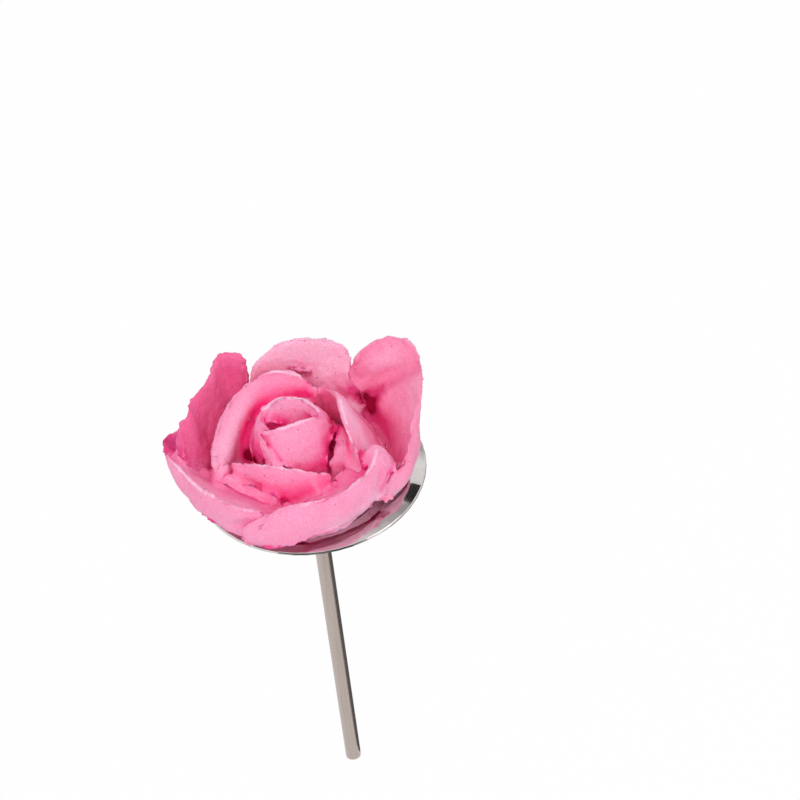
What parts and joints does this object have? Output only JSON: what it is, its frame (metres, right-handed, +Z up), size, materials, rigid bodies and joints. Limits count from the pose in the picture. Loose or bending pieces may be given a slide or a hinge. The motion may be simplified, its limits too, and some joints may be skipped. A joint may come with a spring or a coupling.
{
  "type": "flower nail",
  "caption": "Thin round steel head on a slim straight stem, turned between the fingers to pipe icing flowers, shown with a piped rose that lifts off.",
  "frame": {"origin": "centre of the stem's lower end", "axes": "+Z up the stem to the head, -Y towards the viewer of the picture, +X to the viewer's right"},
  "size_m": [0.0457, 0.0396, 0.0924],
  "materials": {
    "stem_steel": "satin drawn rod",
    "head_steel": "polished sheet",
    "icing": "matte pink icing with fine pores"
  },
  "bodies": {
    "nail": {"stem": "stem_steel", "weld_bead": "stem_steel", "head": "head_steel"},
    "rose": {"rose_mound": "icing", "bud_wrap": "icing", "inner_petal_left": "icing", "inner_petal_tail": "icing", "inner_petal_right": "icing", "inner_petal_front": "icing", "outer_petal_back": "icing", "outer_petal_left": "icing", "outer_petal_right": "icing", "outer_petal_front_left": "icing", "outer_petal_front_right": "icing"}
  },
  "joints": [
    {"name": "rose_lift", "type": "slide", "parent": "nail", "child": "rose", "axis": [0, 0, 1], "range_m": [0, 0.04]}
  ]
}
